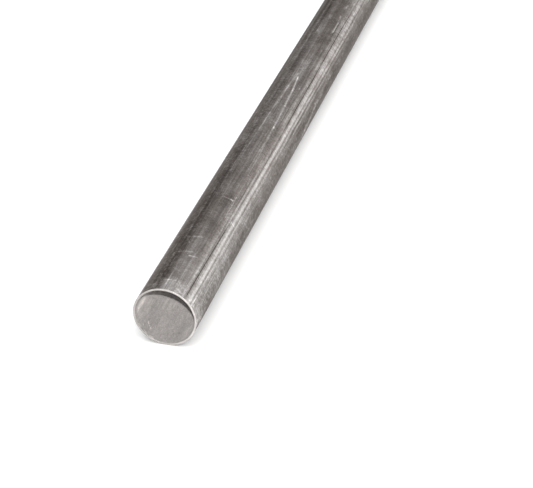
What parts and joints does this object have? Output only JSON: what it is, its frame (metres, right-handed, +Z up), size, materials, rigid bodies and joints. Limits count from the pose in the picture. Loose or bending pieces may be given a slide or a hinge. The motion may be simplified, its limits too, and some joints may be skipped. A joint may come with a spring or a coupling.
{
  "type": "metal conduit tube",
  "caption": "Plain round steel conduit tube, thin walled and open from end to end, with square-cut deburred ends; one unthreaded straight stock length lying on its side.",
  "frame": {"origin": "halfway along the tube, straight below its axis, on the level that its lowest side touches", "axes": "+Y along the tube's axis from the near cut end, which the picture shows, to the far cut end; +Z up; +X to the right of someone who looks along +Y"},
  "size_m": [0.05, 3, 0.0498],
  "materials": {
    "steel": "drawn mild steel, dull warm grey, finely streaked along its length and lightly scratched; the sawn ends are bright"
  },
  "bodies": {
    "root": {"conduit_tube": "steel"}
  },
  "joints": []
}
